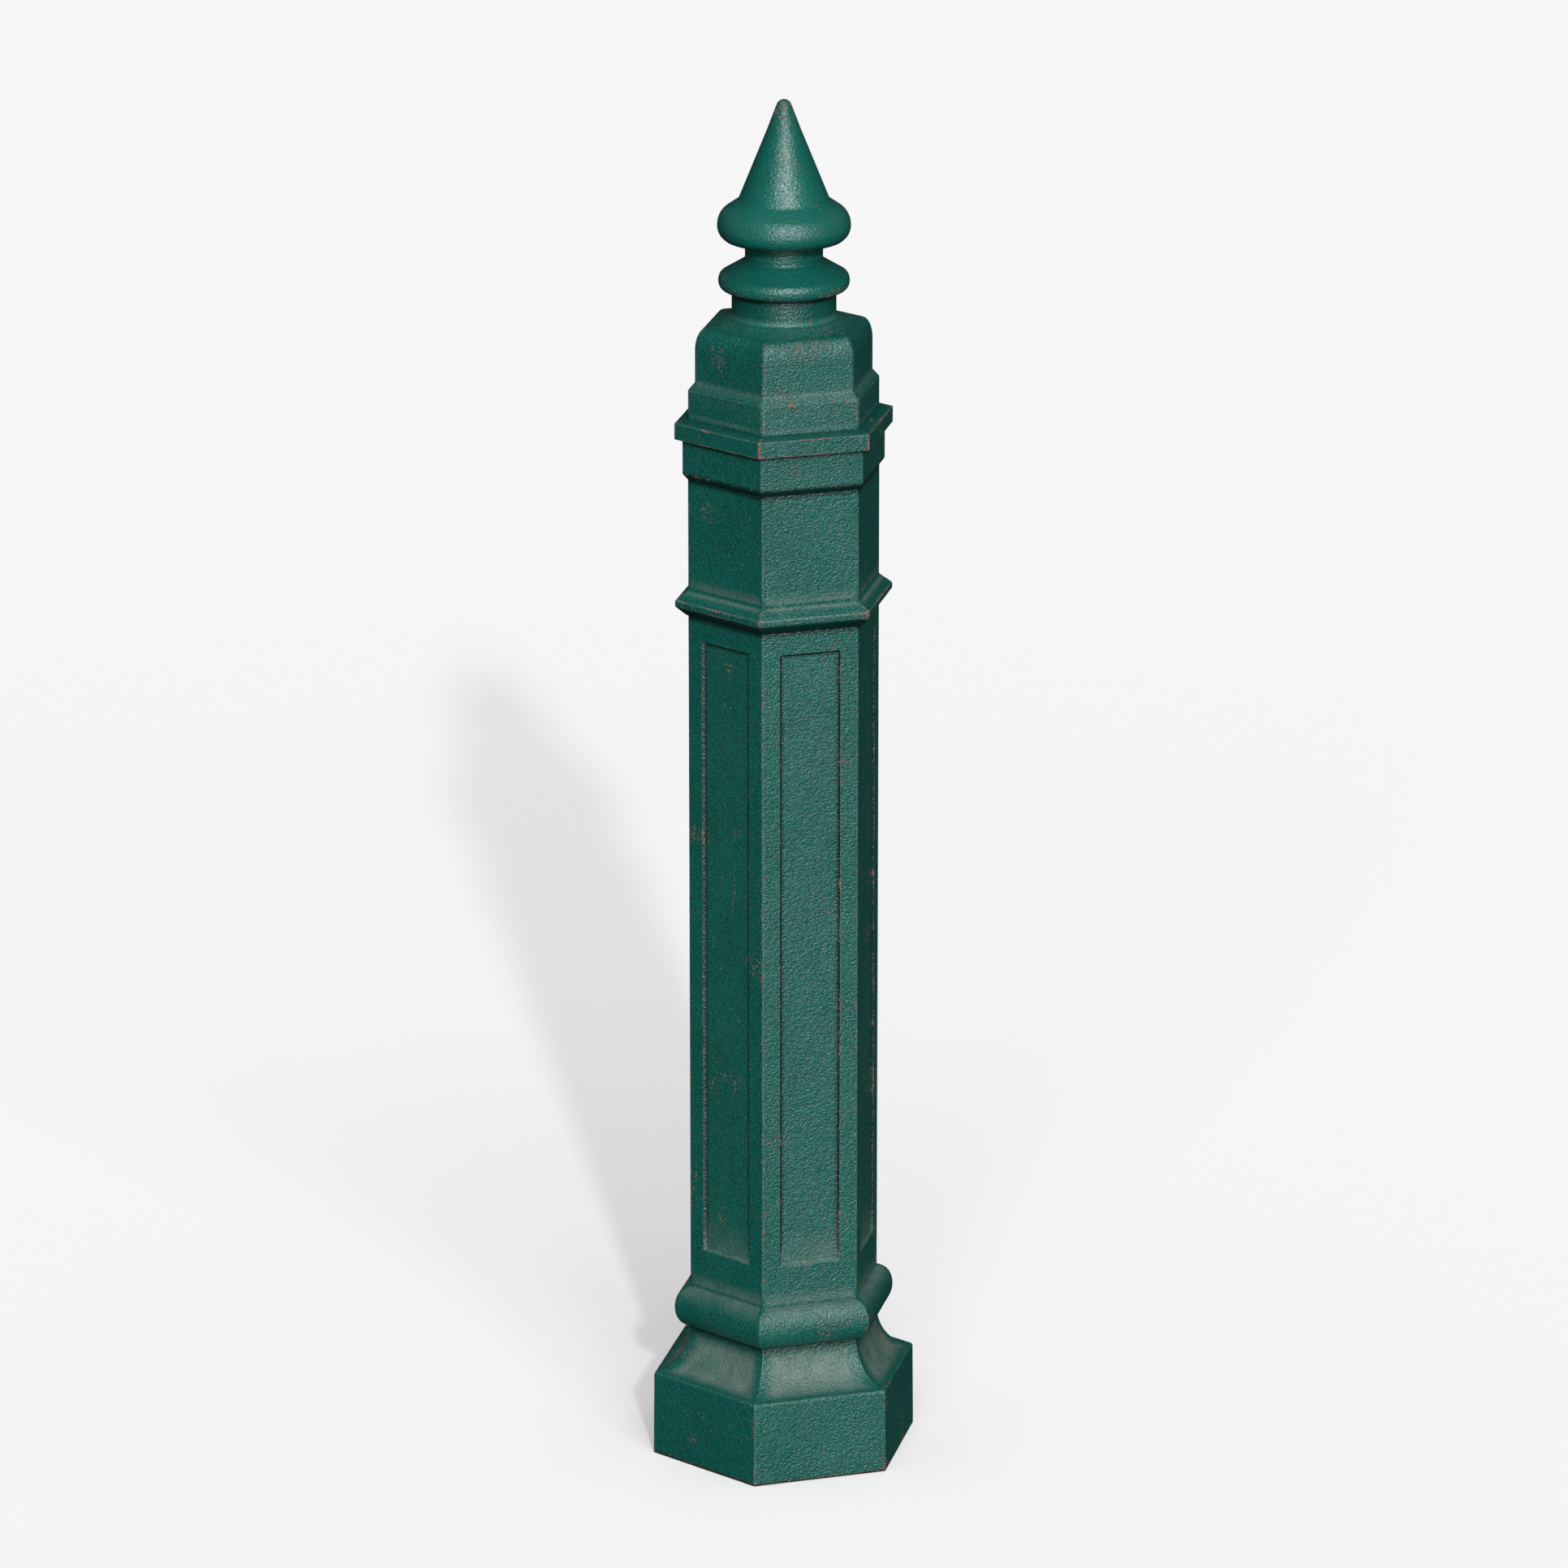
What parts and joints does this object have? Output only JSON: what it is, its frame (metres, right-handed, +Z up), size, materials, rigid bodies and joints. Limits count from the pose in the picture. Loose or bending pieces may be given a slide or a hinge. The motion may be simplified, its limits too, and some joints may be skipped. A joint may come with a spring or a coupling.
{
  "type": "bollard",
  "caption": "Hexagonal cast-iron street bollard with panelled faces, moulded capital and turned pointed finial, clamped by a central tie rod.",
  "frame": {"origin": "middle of the foot, on the plane the bollard stands on", "axes": "+Z up along the tie rod; X through two opposite corners of the hexagon; Y square to two opposite flats"},
  "size_m": [0.2184, 0.1892, 1.0981],
  "materials": {
    "green_paint": "gloss",
    "plate_steel": "satin",
    "zinc_steel": "satin",
    "seal_rubber": "matte",
    "washer_nylon": "matte"
  },
  "bodies": {
    "root": {"base_plinth": "green_paint", "torus_collar": "green_paint", "panelled_shaft": "green_paint", "arris_moulding": "green_paint", "upper_shaft": "green_paint", "capital_band": "green_paint", "head_block": "green_paint", "neck_disc": "green_paint", "anchor_plate": "plate_steel", "tie_rod": "zinc_steel", "rod_lock_nut": "zinc_steel", "tie_washer": "zinc_steel", "spring_washer": "zinc_steel", "tie_nut": "zinc_steel", "plinth_seal": "seal_rubber", "torus_seal": "seal_rubber", "shaft_seal": "seal_rubber", "arris_seal": "seal_rubber", "upper_shaft_seal": "seal_rubber", "capital_seal": "seal_rubber", "neck_seal": "seal_rubber"},
    "washer": {"finial_washer": "washer_nylon"},
    "finial": {"finial": "green_paint"}
  },
  "joints": [
    {"name": "finial_rise", "type": "slide", "parent": "root", "child": "washer", "axis": [0, 0, 1], "range_m": [0, 0.03]},
    {"name": "finial_turn", "type": "hinge", "parent": "washer", "child": "finial", "pos_m": [0, 0, 0.9812], "axis": [0, 0, 1], "range_deg": [0, 4320]}
  ],
  "couplings": [
    {"joint": "finial_rise", "follows": "finial_turn", "m_per_rad": 0.00039789}
  ]
}
